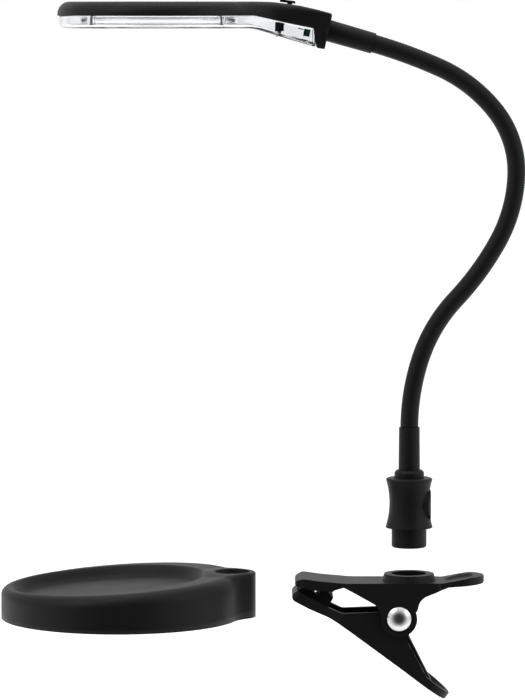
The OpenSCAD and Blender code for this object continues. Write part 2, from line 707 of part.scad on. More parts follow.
// The base's sloping top, as a frame at the dish's centre
module crest_frame() translate([dish_c, 0, tilt_z]) rotate([0, -crest_tilt, 0]) children();

module at_base_screws() for (a = base_screw_angles)
    translate([base_c, 0, base_floor]) rotate([0, 0, a]) translate([base_r - base_screw_in, 0, 0])
        children();

module base_shell() color("#1c1c1d") difference() {
    union() {
        intersection() {
            translate([base_c, 0, base_floor]) cylinder(r1 = base_r, r2 = base_r - 1.3 * draft, h = 40);
            crest_frame() translate([base_c - dish_c, 0, -40]) union() {
                cylinder(r = base_r + 1.2, h = 40 - base_round);
                translate([0, 0, 40 - base_round - 0.01]) intersection() {
                    cylinder(r = base_r + 2, h = base_round + 0.01);
                    rotate_extrude() {
                        square([base_r + 1.2 - base_round, base_round]);
                        translate([base_r + 1.2 - base_round, 0]) circle(r = base_round);
                    }
                }
            }
        }
        translate([-base_reach, 0, base_floor])
            cylinder(r1 = post_r + draft, r2 = post_r, h = base_raise - base_floor);
    }
    // The dish
    crest_frame() translate([0, 0, -dish_h])
        cylinder(r1 = dish_r - 8, r2 = dish_r - 0.6, h = dish_h + 0.01);
    crest_frame() cylinder(r = dish_r - 0.6, h = 20);
    // Hollow for the weight, and the rebate for the bottom cover
    intersection() {
        translate([base_c, 0, base_floor - 1]) cylinder(r = base_inner_r, h = 40);
        crest_frame() translate([0, 0, -60 - dish_h - base_wall]) cylinder(r = 140, h = 60);
        difference() {
            translate([base_c - 100, -100, base_floor - 1]) cube([200, 200, 60]);
            translate([-base_reach, 0, base_floor - 2])
                cylinder(r = socket_r + base_wall, h = 80);
            at_base_screws() translate([0, 0, base_cover_t]) cylinder(r = base_boss_r, h = 60);
        }
    }
    translate([-base_reach, 0, base_raise - socket_depth])
        cylinder(r = socket_r, h = socket_depth + 1);
    at_base_screws() cylinder(r = base_screw_r, h = base_cover_t + base_screw_len);
}

// The weight clears the socket's well
module base_weight() color("#8d8f92") translate([0, 0, base_floor + base_cover_t + 0.5])
    difference() {
        translate([base_c, 0, 0]) cylinder(r = base_inner_r - 2, h = weight_t);
        translate([-base_reach, 0, -1]) cylinder(r = socket_r + base_wall + 1, h = 40);
        for (a = base_screw_angles) translate([base_c, 0, -1]) rotate([0, 0, a])
            translate([base_r - base_screw_in, 0, 0]) cylinder(r = base_boss_r + 0.5, h = 40);
    }

module base_cover() color("#202022") difference() {
    translate([base_c, 0, base_floor]) cylinder(r = base_inner_r - 0.2, h = base_cover_t);
    translate([-base_reach, 0, base_floor - 1]) cylinder(r = socket_r + base_wall + 0.2, h = 40);
    at_base_screws() translate([0, 0, -1]) {
        cylinder(r = base_screw_r, h = 40);
        cylinder(r = base_screw_head.x + 0.2, h = 1 + base_screw_head.y);
    }
}

module base_feet() color("#101011") for (a = [30, 90, 150, 210, 270, 330])
    translate([base_c, 0, base_floor - feet_h]) rotate([0, 0, a]) translate([base_r - 14, 0, 0])
        cylinder(r = 6, h = feet_h);

module base_screws() color("silver") at_base_screws() {
    cylinder(r = base_screw_head.x, h = base_screw_head.y);
    cylinder(r = base_screw_r, h = base_cover_t + base_screw_len);
}

clip_upper_lever();
upper_jaw_pad();
rivet_shaft();
rivet_domes();
spring_coil();
clip_lower_lever();
lower_jaw_pad();
spring_lower_leg();
spigot();
stem_clip();
collar_shell();
collar_step_ring();
neck_nut();
inlet_body();
inlet_pin();
supply_lead();
lower_ferrule();
for (i = [0 : last_link]) {
    neck_core(i);
    neck_sleeve(i);
    neck_wires(i);
}
core_end_lower();
core_end_upper();
upper_ferrule();
head_shell();
head_cover();
magnifier_lens();
led_board();
led_chips();
driver_board();
driver_coil();
driver_parts();
wire_terminal();
head_wires();
head_screws();
switch_body();
switch_slider();
base_shell();
base_weight();
base_cover();
base_feet();
base_screws();
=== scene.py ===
"""Finishes and detailed pieces for a reading lamp with a gooseneck, a clip and a round base."""

import json
import math

import bmesh
import bpy
import numpy as np
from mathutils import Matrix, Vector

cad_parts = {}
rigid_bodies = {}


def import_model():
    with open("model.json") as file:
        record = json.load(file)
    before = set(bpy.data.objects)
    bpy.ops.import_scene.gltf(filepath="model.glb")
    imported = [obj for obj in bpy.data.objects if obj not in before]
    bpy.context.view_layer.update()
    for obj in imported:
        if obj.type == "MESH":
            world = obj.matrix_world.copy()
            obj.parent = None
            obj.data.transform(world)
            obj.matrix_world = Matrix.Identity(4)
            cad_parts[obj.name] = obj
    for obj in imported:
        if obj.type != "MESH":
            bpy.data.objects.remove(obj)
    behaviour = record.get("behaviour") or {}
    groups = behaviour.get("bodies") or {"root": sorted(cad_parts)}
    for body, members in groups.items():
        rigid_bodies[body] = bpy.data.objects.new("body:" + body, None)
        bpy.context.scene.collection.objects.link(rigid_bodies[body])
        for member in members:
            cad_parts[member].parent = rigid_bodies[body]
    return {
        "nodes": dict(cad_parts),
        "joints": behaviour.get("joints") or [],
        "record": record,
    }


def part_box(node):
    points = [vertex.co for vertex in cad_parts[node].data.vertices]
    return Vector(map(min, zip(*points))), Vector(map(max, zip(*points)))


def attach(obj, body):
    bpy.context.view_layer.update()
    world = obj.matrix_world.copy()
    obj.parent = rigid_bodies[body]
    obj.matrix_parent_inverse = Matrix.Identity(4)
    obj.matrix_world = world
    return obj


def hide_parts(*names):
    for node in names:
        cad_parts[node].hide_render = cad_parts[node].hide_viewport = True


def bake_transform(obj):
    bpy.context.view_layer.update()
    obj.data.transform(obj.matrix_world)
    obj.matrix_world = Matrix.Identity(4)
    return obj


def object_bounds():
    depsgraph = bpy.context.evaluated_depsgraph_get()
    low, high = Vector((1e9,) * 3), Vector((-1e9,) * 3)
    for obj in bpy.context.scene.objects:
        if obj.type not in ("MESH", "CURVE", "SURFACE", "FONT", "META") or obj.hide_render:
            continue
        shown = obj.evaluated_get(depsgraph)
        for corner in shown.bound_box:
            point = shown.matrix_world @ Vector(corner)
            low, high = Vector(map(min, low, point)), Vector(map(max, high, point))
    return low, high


bl_info = {
    "name": "Clip-on reading lamp",
    "version": (1, 0, 0),
    "blender": (4, 5, 0),
    "location": "View3D > Sidebar > Reading lamp",
    "description": "Finishes the lamp's pieces and builds its neck, head, base and stage",
    "category": "Object",
}

MM = 0.001
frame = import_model()
cad_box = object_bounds()
joints = {joint["name"]: joint for joint in frame["joints"]}
nodes = frame["nodes"]


# ---------------------------------------------------------------- surfaces


def new_piece(name, points, faces, finish, smooth=True, inside=None):
    """A mesh object at the origin from arrays of points and quads, with its poles welded.
    Its faces are turned to point away from inside, by the sum of their areas that do."""
    mesh = bpy.data.meshes.new(name)
    mesh.from_pydata(points.tolist(), [], faces.tolist())
    shape = bmesh.new()
    shape.from_mesh(mesh)
    bmesh.ops.remove_doubles(shape, verts=shape.verts, dist=1e-7)
    bmesh.ops.dissolve_degenerate(shape, dist=1e-7, edges=shape.edges)
    shape.to_mesh(mesh)
    shape.free()
    if inside is not None:
        count = len(mesh.polygons)
        normal, centre, area = np.zeros(count * 3), np.zeros(count * 3), np.zeros(count)
        mesh.polygons.foreach_get("normal", normal)
        mesh.polygons.foreach_get("center", centre)
        mesh.polygons.foreach_get("area", area)
        away = ((centre.reshape(-1, 3) - np.array(inside)) * normal.reshape(-1, 3)).sum(1)
        if (np.sign(away) * area).sum() < 0:
            mesh.flip_normals()
    mesh.polygons.foreach_set("use_smooth", np.full(len(mesh.polygons), smooth))
    mesh.materials.append(finish)
    piece = bpy.data.objects.new(name, mesh)
    bpy.context.scene.collection.objects.link(piece)
    return piece


def grid_faces(rows, cols, close_rows=False, close_cols=False):
    """Quads of a grid of rows by cols points, joined end to end where it is closed."""
    r = np.arange(rows if close_rows else rows - 1)
    c = np.arange(cols if close_cols else cols - 1)
    i, j = np.meshgrid(r, c, indexing="ij")
    i2, j2 = (i + 1) % rows, (j + 1) % cols
    quads = np.stack([i * cols + j, i * cols + j2, i2 * cols + j2, i2 * cols + j], axis=-1)
    return quads.reshape(-1, 4)


def revolve(profile, centre, steps=72):
    """Points of a profile of (radius, height) turned about a vertical axis through centre."""
    around = np.linspace(0, 2 * np.pi, steps, endpoint=False)
    r, z = np.array(profile, float).T
    return np.stack([centre[0] + r[:, None] * np.cos(around),
                     centre[1] + r[:, None] * np.sin(around),
                     np.repeat(z[:, None], steps, 1)], axis=-1)


def arc(centre, radius, start, end, steps):
    """Points of a plane arc, between two angles in degrees."""
    turn = np.radians(np.linspace(start, end, steps))
    return np.stack([centre[0] + radius * np.cos(turn), centre[1] + radius * np.sin(turn)], axis=-1)


def mirrored(half):
    """A closed outline from its half on the side where y is positive, whose ends lie on y = 0."""
    return np.concatenate([half, half[-2:0:-1] * (1, -1)])


def drawn_in(outline, reach):
    """The outline moved inwards by reach at each point, along its normal."""
    ahead = np.roll(outline, -1, 0) - np.roll(outline, 1, 0)
    inward = np.stack([ahead[:, 1], -ahead[:, 0]], -1) / np.linalg.norm(ahead, axis=1)[:, None]
    return outline + inward * np.broadcast_to(reach, len(outline))[:, None]


def ease(t):
    """A smooth step from 0 to 1: three times its square less twice its cube."""
    t = np.clip(t, 0, 1)
    return t * t * (3 - 2 * t)


def thicken(piece, wall):
    """Gives an open surface a wall that lies inside it."""
    solid = piece.modifiers.new("wall", "SOLIDIFY")
    solid.thickness, solid.offset, solid.use_even_offset = wall, -1, False
    return piece


# ---------------------------------------------------------------- shader maths


class Socket:
    """A number or vector in a material, so that node maths is written as Python expressions."""

    def __init__(self, shader, socket):
        self.shader, self.socket = shader, socket

    def math(self, operation, *others, first=None):
        values = (self, *others) if first is None else (first, self)
        return self.shader.node("ShaderNodeMath", {"operation": operation}, dict(enumerate(values)))

    def __add__(self, other):
        return self.math("ADD", other)

    def __sub__(self, other):
        return self.math("SUBTRACT", other)

    def __rsub__(self, other):
        return self.math("SUBTRACT", first=other)

    def __mul__(self, other):
        return self.math("MULTIPLY", other)

    __radd__, __rmul__ = __add__, __mul__


class Shader:
    """A material on the Principled shader. Sizes are in metres, on Object coordinates."""

    def __init__(self, name, **constants):
        self.material = bpy.data.materials.new(name)
        self.material.use_nodes = True
        self.tree = self.material.node_tree
        self.base = self.tree.nodes["Principled BSDF"]
        for key, value in constants.items():
            self.base.inputs[key.replace("_", " ")].default_value = value
        self.place = self.node("ShaderNodeTexCoord", output="Object")

    def node(self, kind, settings=None, inputs=None, output=0):
        """Adds a node, makes its settings, then sets or links its inputs, and returns one output."""
        node = self.tree.nodes.new(kind)
        for key, value in (settings or {}).items():
            setattr(node, key, value)
        for key, value in (inputs or {}).items():
            if isinstance(value, Socket):
                self.tree.links.new(value.socket, node.inputs[key])
            else:
                node.inputs[key].default_value = value
        return Socket(self, node.outputs[output])

    def feed(self, **inputs):
        for key, value in inputs.items():
            self.tree.links.new(value.socket, self.base.inputs[key.replace("_", " ")])

    def noise(self, size, detail=3.0, stretch=(1, 1, 1)):
        """Noise from 0 to 1 whose features are about size metres across."""
        spot = self.place
        if stretch != (1, 1, 1):
            spot = self.node("ShaderNodeMapping", None, {"Vector": spot, "Scale": stretch})
        return self.node("ShaderNodeTexNoise", None, {"Vector": spot, "Scale": 1 / size, "Detail": detail})

    def mix(self, factor, dark, light):
        """A colour between two, by a factor from 0 to 1."""
        mixed = self.node(
            "ShaderNodeMix", {"data_type": "RGBA"},
            {0: factor, 6: (*dark, 1), 7: (*light, 1)}, output=2)
        return mixed

    def relief(self, height, depth, edge=0.0):
        """Bump of a height from 0 to 1 and a depth in metres, over edges rounded by edge metres."""
        inputs = {"Height": height, "Distance": depth, "Strength": 1.0}
        if edge:
            inputs["Normal"] = self.node("ShaderNodeBevel", {"samples": 4}, {"Radius": edge})
        self.feed(Normal=self.node("ShaderNodeBump", None, inputs))


def moulded(name, dark, light, rough, grain, depth, edge=0.0004, **constants):
    """Moulded plastic or rubber: fine spark-eroded grain, with slow drifts in colour and sheen."""
    s = Shader(name, **constants)
    fine, slow = s.noise(grain, 4.0), s.noise(0.018, 3.0)
    s.feed(Base_Color=s.mix(fine * 0.5 + slow * 0.5, dark, light))
    s.feed(Roughness=slow * 0.12 + fine * 0.06 + (rough - 0.09))
    s.relief(fine, depth, edge)
    return s.material


def metal(name, dark, light, rough, stretch, edge=0.0002):
    """Metal with fine marks drawn out along one direction."""
    s = Shader(name, Metallic=1.0)
    marks, slow = s.noise(0.0009, 4.0, stretch), s.noise(0.006)
    s.feed(Base_Color=s.mix(slow, dark, light))
    s.feed(Roughness=marks * 0.14 + slow * 0.06 + (rough - 0.1))
    s.relief(marks, 0.000006, edge)
    return s.material


def clear(name, tint, ior, rough, ripple):
    """A clear moulding or lens with a faint ripple and handling haze."""
    s = Shader(name, Transmission_Weight=1.0, IOR=ior)
    haze = s.noise(0.012)
    s.feed(Base_Color=s.mix(haze, tuple(c * 0.97 for c in tint), tint))
    s.feed(Roughness=haze * 0.04 + rough)
    s.relief(haze, ripple)
    return s.material


def make_finishes():
    """Every finish of the lamp, by the name of its material slot."""
    near, far = (0.0055, 0.0055, 0.006), (0.0105, 0.0105, 0.011)
    return {
        "black_plastic": moulded(
            "black_plastic", near, far, 0.46, 0.0005, 0.00001, Specular_IOR_Level=0.14),
        "black_rubber": moulded(
            "black_rubber", (0.006,) * 3, (0.011,) * 3, 0.72, 0.0008, 0.00002, Specular_IOR_Level=0.12),
        "neck_sleeve": moulded(
            "neck_sleeve", near, far, 0.48, 0.0006, 0.000008, 0.0, Specular_IOR_Level=0.14),
        "black_wire": moulded("black_wire", (0.01,) * 3, (0.02,) * 3, 0.4, 0.001, 0.000004),
        "black_gloss": moulded("black_gloss", (0.008,) * 3, (0.014,) * 3, 0.24, 0.001, 0.000003),
        "bright_steel": metal("bright_steel", (0.6, 0.6, 0.61), (0.8, 0.8, 0.81), 0.2, (1, 1, 1)),
        "spring_steel": metal(
            "spring_steel", (0.07, 0.07, 0.075), (0.16, 0.16, 0.165), 0.36, (6, 6, 1)),
        "neck_steel": metal("neck_steel", (0.3, 0.3, 0.31), (0.45, 0.45, 0.46), 0.38, (1, 1, 5)),
        "dark_steel": metal(
            "dark_steel", (0.04, 0.04, 0.045), (0.09, 0.09, 0.095), 0.36, (1, 1, 1)),
        "zinc_steel": metal("zinc_steel", (0.34, 0.34, 0.35), (0.5, 0.5, 0.52), 0.46, (1, 1, 1)),
        "clear_plastic": clear("clear_plastic", (0.95, 0.96, 0.97), 1.49, 0.03, 0.00001),
        "lens_glass": clear("lens_glass", (0.97, 0.99, 0.99), 1.5, 0.005, 0.000002),
        "white_board": moulded(
            "white_board", (0.68, 0.67, 0.62), (0.8, 0.79, 0.75), 0.42, 0.002, 0.000004),
        "led_phosphor": moulded(
            "led_phosphor", (0.8, 0.6, 0.16), (0.95, 0.78, 0.3), 0.3, 0.001, 0.000004),
        "green_board": moulded(
            "green_board", (0.02, 0.1, 0.045), (0.035, 0.15, 0.07), 0.34, 0.0012, 0.000006),
        "copper_winding": moulded(
            "copper_winding", (0.3, 0.15, 0.05), (0.55, 0.32, 0.14), 0.36, 0.0005, 0.00003),
        "tan_parts": moulded(
            "tan_parts", (0.4, 0.3, 0.17), (0.6, 0.48, 0.3), 0.45, 0.0016, 0.000006),
        "green_terminal": moulded(
            "green_terminal", (0.01, 0.07, 0.045), (0.02, 0.11, 0.075), 0.38, 0.001, 0.000006),
    }


finishes = make_finishes()


# ---------------------------------------------------------------- settings


class LampNeck(bpy.types.PropertyGroup):
    rib_pitch: bpy.props.FloatProperty(
        name="Rib pitch", description="Distance between two ribs of the sleeve",
        default=1.5 * MM, unit="LENGTH")
    rib_depth: bpy.props.FloatProperty(
        name="Rib depth", description="Depth of the grooves between the ribs",
        default=0.06 * MM, unit="LENGTH")
    last_turn: bpy.props.FloatProperty(
        name="Last turn", description="Turn of the neck after its last bend",
        default=math.radians(8), subtype="ANGLE")
    wall: bpy.props.FloatProperty(
        name="Wall", description="Thickness of the sleeve", default=1.0 * MM, unit="LENGTH")


class LampBase(bpy.types.PropertyGroup):
    radius: bpy.props.FloatProperty(
        name="Radius", description="Radius of the base", default=78 * MM, unit="LENGTH")
    dish_radius: bpy.props.FloatProperty(
        name="Dish radius", description="Radius of the dish at its crest",
        default=64.4 * MM, unit="LENGTH")
    dish_floor: bpy.props.FloatProperty(
        name="Dish floor", description="Radius of the dish's floor", default=57 * MM, unit="LENGTH")
    dish_depth: bpy.props.FloatProperty(
        name="Dish depth", description="Depth of the dish", default=7 * MM, unit="LENGTH")
    dish_offset: bpy.props.FloatProperty(
        name="Dish offset", description="Distance of the dish's centre from the base's",
        default=8.4 * MM, unit="LENGTH")
    crest: bpy.props.FloatProperty(
        name="Crest", description="Height of the crest at the dish's centre",
        default=24.2 * MM, unit="LENGTH")
    tilt: bpy.props.FloatProperty(
        name="Tilt", description="Rise of the crest towards the post",
        default=math.radians(3.6), subtype="ANGLE")
    rounding: bpy.props.FloatProperty(
        name="Rounding", description="Radius of the base's outer edge", default=8 * MM, unit="LENGTH")
    post_radius: bpy.props.FloatProperty(
        name="Post radius", description="Radius of the socket's post", default=15.4 * MM, unit="LENGTH")
    fillet: bpy.props.FloatProperty(
        name="Fillet", description="Radius where the post runs into the base",
        default=26 * MM, unit="LENGTH")
    wall: bpy.props.FloatProperty(
        name="Wall", description="Thickness of the base's wall", default=2.5 * MM, unit="LENGTH")


class LampHead(bpy.types.PropertyGroup):
    radius: bpy.props.FloatProperty(
        name="Radius", description="Radius of the head", default=65 * MM, unit="LENGTH")
    opening: bpy.props.FloatProperty(
        name="Opening", description="Radius of the opening round the lens",
        default=48 * MM, unit="LENGTH")
    neck_width: bpy.props.FloatProperty(
        name="Neck width", description="Width of the head's neck", default=36 * MM, unit="LENGTH")
    flare_width: bpy.props.FloatProperty(
        name="Flare width", description="Width of the neck where it leaves the ring",
        default=72 * MM, unit="LENGTH")
    flare_end: bpy.props.FloatProperty(
        name="Flare end", description="Distance from the ring's centre to the neck's straight sides",
        default=82 * MM, unit="LENGTH")
    inset: bpy.props.FloatProperty(
        name="Inset", description="Step between the shell and the clear cover",
        default=1 * MM, unit="LENGTH")
    wall: bpy.props.FloatProperty(
        name="Wall", description="Thickness of the shell and cover", default=1.9 * MM, unit="LENGTH")


class LampStage(bpy.types.PropertyGroup):
    eye_height: bpy.props.FloatProperty(
        name="Eye height", description="Height of the camera", default=0.3738, unit="LENGTH")
    distance: bpy.props.FloatProperty(
        name="Distance", description="Distance of the camera in front", default=2.63, unit="LENGTH")
    aim_x: bpy.props.FloatProperty(
        name="Aim across", description="Point looked at, across", default=-0.0956, unit="LENGTH")
    aim_z: bpy.props.FloatProperty(
        name="Aim height", description="Height of the point looked at", default=0.1463, unit="LENGTH")
    lens: bpy.props.FloatProperty(
        name="Lens", description="Focal length in millimetres", default=208.9)
    floor_drop: bpy.props.FloatProperty(
        name="Floor drop", description="Distance of the floor below the lamp", default=0.12, unit="LENGTH")
    floor_color: bpy.props.FloatVectorProperty(
        name="Floor", description="Colour of the floor", default=(0.88, 0.88, 0.88), subtype="COLOR")


# ---------------------------------------------------------------- operators


class LAMP_OT_finishes(bpy.types.Operator):
    """Gives every node of the lamp the finish of its material slot"""
    bl_idname = "lamp.finishes"
    bl_label = "Finishes"

    def execute(self, context):
        for part in frame["record"]["subparts"]:
            mesh = nodes[part["node"]].data
            mesh.materials.clear()
            mesh.materials.append(finishes[part["material_slot"]])
        return {"FINISHED"}


def neck_path(last_turn):
    """Start points, headings and turns of the neck's links, and their length.
    A link is an arc, so the direction of its chord lies half its turn from its heading."""
    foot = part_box("lower_ferrule")[1].z
    bends = [joints[n]["pos_m"] for n in joints if n.startswith("neck_")]
    points = np.array([[0.0, foot]] + [[p[0], p[2]] for p in bends])
    heading, headings, turns = math.pi / 2, [], []
    for chord in np.diff(points, axis=0):
        turn = 2 * (math.atan2(chord[1], chord[0]) - heading)
        turn = (turn + math.pi) % (2 * math.pi) - math.pi
        headings.append(heading)
        turns.append(turn)
        heading += turn
    chord = np.linalg.norm(points[1] - points[0])
    length = chord * (turns[0] / 2) / math.sin(turns[0] / 2)
    return points, np.array(headings + [heading]), np.array(turns + [last_turn]), length


def on_neck(s, path):
    """Centre and heading of the neck at the lengths s: along each arc the heading turns evenly, and
    the centre is the start plus the difference of its sines and cosines over the curvature."""
    points, headings, turns, length = path
    i = np.clip((s / length).astype(int), 0, len(turns) - 1)
    bend = turns[i] / length
    h0 = headings[i]
    h = h0 + bend * (s - i * length)
    return (points[i, 0] + (np.sin(h) - np.sin(h0)) / bend,
            points[i, 1] - (np.cos(h) - np.cos(h0)) / bend, h)


class LAMP_OT_neck(bpy.types.Operator):
    """Builds the neck's ribbed sleeve as runs that curve along the neck across its joints"""
    bl_idname = "lamp.neck"
    bl_label = "Neck sleeve"

    def execute(self, context):
        size = context.scene.lamp_neck
        path = neck_path(size.last_turn)
        length = path[3]
        radius = (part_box("neck_sleeve_1")[1].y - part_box("neck_sleeve_1")[0].y) / 2
        bodies = [joints[n]["parent"] for n in joints if n.startswith("neck_")] + ["head"]
        runs = len(bodies) - 1
        for k in range(runs):
            start = 0 if k == 0 else (k + 0.5) * length
            end = (k + 2) * length if k == runs - 1 else (k + 1.5) * length
            sleeve = self.run(f"neck_sleeve_run_{k + 1}", path, start, end, radius, size)
            reach = length * 0.48  # nearly the whole run; a and b, the neck's points that far either side of the joint, are not used
            a, b = on_neck(np.array([(k + 1) * length - reach, (k + 1) * length + reach]), path)[:2]
            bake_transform(sleeve)
            covered = [f"neck_sleeve_{k + 1}"] + ([f"neck_sleeve_{k + 2}"] if k == runs - 1 else [])
            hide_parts(*covered)
        return {"FINISHED"}

    def run(self, name, path, start, end, radius, size):
        """A closed wall round the path: the radius dips between ribs by the rib depth times
        (1 + cos) / 2 of the length over the pitch, and the inner side is plain."""
        out = np.arange(start, end, size.rib_pitch / 6)
        out = np.append(out, end)
        dip = size.rib_depth * (1 + np.cos(2 * np.pi * out / size.rib_pitch)) / 2
        back = np.linspace(end, start, max(int((end - start) / (3 * MM)), 8))
        s = np.concatenate([out, back])
        r = np.concatenate([radius - dip, np.full(len(back), radius - size.wall)])
        x, z, h = on_neck(np.clip(s, 0, len(path[2]) * path[3] - 1e-9), path)
        around = np.linspace(0, 2 * np.pi, 40, endpoint=False)
        side = r[:, None] * np.cos(around)
        cloud = np.stack([x[:, None] - side * np.sin(h)[:, None],
                          r[:, None] * np.sin(around),
                          z[:, None] + side * np.cos(h)[:, None]], axis=-1)
        faces = grid_faces(len(s), len(around), close_rows=True, close_cols=True)
        return new_piece(name, cloud.reshape(-1, 3), faces, finishes["neck_sleeve"])


class LAMP_OT_base(bpy.types.Operator):
    """Builds the base's dished body with its filleted post, and the socket's bush"""
    bl_idname = "lamp.base"
    bl_label = "Base"

    post_edge = 1.2 * MM    # rounding of the post's mouth
    rise_from = -1.5 * MM   # where the crest starts to rise to the mouth, from the post's wall
    rise_over = 12 * MM
    hole = 12.6 * MM        # radius left open for the bush
    bush_outside = 13.6 * MM
    bush_floor = 2 * MM
    bush_lip = 0.05 * MM    # how far the bush stands over the mouth

    def execute(self, context):
        size = context.scene.lamp_base
        low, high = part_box("base_shell")
        centre = np.array([low.x + (high.y - low.y) / 2, 0.0])  # it is round on the side of low x
        floor, mouth = low.z, high.z
        post = next(m for m in frame["record"]["mounts"] if m["name"] == "base_socket")
        body = self.body(size, centre, floor, mouth, post["pos_m"][0] - centre[0])
        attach(body, "base")
        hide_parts("base_shell")
        bore, depth = post["dims"]["r_mm"] * MM, post["dims"]["length_mm"] * MM
        bush = self.bush(size, post["pos_m"][0], mouth, bore, depth)
        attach(bush, "base")
        return {"FINISHED"}

    def body(self, size, centre, floor, mouth, reach):
        """Rows of one outline, the base's circle run into the post's by two fillet arcs. They go up the
        wall, over the edge in a quarter circle, in to the dish's crest, down its wall by a smooth
        step, and over its floor to the middle. The top is the tilted crest, raised to the mouth
        round the post by a smooth step."""
        outline = self.outline(size, reach)
        dish = np.array([-size.dish_offset, 0.0])
        slope = math.tan(size.tilt)

        def crest(xy):
            plane = floor + size.crest + (xy[:, 0] - dish[0]) * slope
            from_post = np.hypot(xy[:, 0] - reach, xy[:, 1])
            near = 1 - ease((from_post - size.post_radius - self.rise_from) / self.rise_over)
            return plane + (mouth - plane) * near, near

        edge_height, near = crest(outline)
        to_dish = np.hypot(outline[:, 0] - dish[0], outline[:, 1]) - size.dish_radius
        rounding = size.rounding + (self.post_edge - size.rounding) * near
        rounding = np.minimum(rounding, to_dish * 0.9)
        shoulder = edge_height - rounding
        rows, heights = [], []
        for up in np.linspace(0, 1, 6):
            rows.append(outline)
            heights.append(floor + (shoulder - floor) * up)
        for turn in np.radians(np.linspace(0, 90, 9))[1:]:
            row = drawn_in(outline, rounding * (1 - math.cos(turn)))
            rows.append(row)
            heights.append(crest(row)[0] - rounding * (1 - math.sin(turn)))
        edge = rows[-1]
        angle = np.arctan2(edge[:, 1] - dish[1], edge[:, 0] - dish[0])
        around = np.stack([np.cos(angle), np.sin(angle)], -1)
        lip = dish + around * size.dish_radius
        for t in np.linspace(0, 1, 15)[1:]:
            row = edge + (lip - edge) * t
            rows.append(row)
            heights.append(crest(row)[0])
        lip_height = crest(lip)[0]
        sunk = dish + around * size.dish_floor
        sunk_height = floor + size.crest - size.dish_depth + (sunk[:, 0] - dish[0]) * slope
        for t in np.linspace(0, 1, 13)[1:]:
            rows.append(lip + (sunk - lip) * t)
            heights.append(lip_height + (sunk_height - lip_height) * ease(t))
        for t in (0.35, 0.7, 0.92, 1):
            row = sunk + (dish - sunk) * t
            rows.append(row)
            heights.append(floor + size.crest - size.dish_depth + (row[:, 0] - dish[0]) * slope)
        plan = np.array(rows) + centre
        points = np.concatenate([plan, np.array(heights)[:, :, None]], axis=-1)
        faces = grid_faces(len(rows), len(outline), close_cols=True)
        middles = points.reshape(-1, 3)[faces].mean(1)
        hole = np.hypot(middles[:, 0] - centre[0] - reach, middles[:, 1]) < self.hole
        inside = (centre[0], 0, floor)
        body = new_piece("base_body", points.reshape(-1, 3), faces[~hole],
                         finishes["black_plastic"], inside=inside)
        return thicken(body, size.wall)

    def outline(self, size, reach):
        """Half the outline: the base's arc, a fillet arc that touches both circles, the post's arc.
        The fillet's centre lies a radius plus the fillet from each circle's centre."""
        post, f = size.post_radius, size.fillet
        x = ((size.radius + f) ** 2 - (post + f) ** 2 + reach ** 2) / (2 * reach)
        y = math.sqrt((size.radius + f) ** 2 - x ** 2)
        leave = math.degrees(math.atan2(y, x))
        meet = math.degrees(math.atan2(y, x - reach))
        return mirrored(np.concatenate([
            arc((0, 0), size.radius, 180, leave, 110),
            arc((x, y), f, 180 + leave, 180 + meet, 16)[1:],
            arc((reach, 0), post, meet, 0, 28)[1:]]))

    def bush(self, size, x, mouth, bore, depth):
        """A closed revolve: the bore with an eased lip, and the well's outer wall and floor."""
        lip, out = mouth + self.bush_lip, self.bush_outside
        seat, foot = mouth - depth, mouth - depth - self.bush_floor
        inner_edge, outer_edge = 0.5 * MM, 0.4 * MM
        profile = [(0, seat), (bore, seat), (bore, lip - inner_edge),
                   (bore + 0.3 * inner_edge, lip - 0.3 * inner_edge), (bore + inner_edge, lip),
                   (out - outer_edge, lip), (out, lip - outer_edge), (out, foot), (0, foot)]
        points = revolve(profile, (x, 0))
        faces = grid_faces(len(profile), points.shape[1], close_cols=True)
        return new_piece("base_bush", points.reshape(-1, 3), faces, finishes["black_plastic"],
                         inside=(x, 0, seat - self.bush_floor / 2))


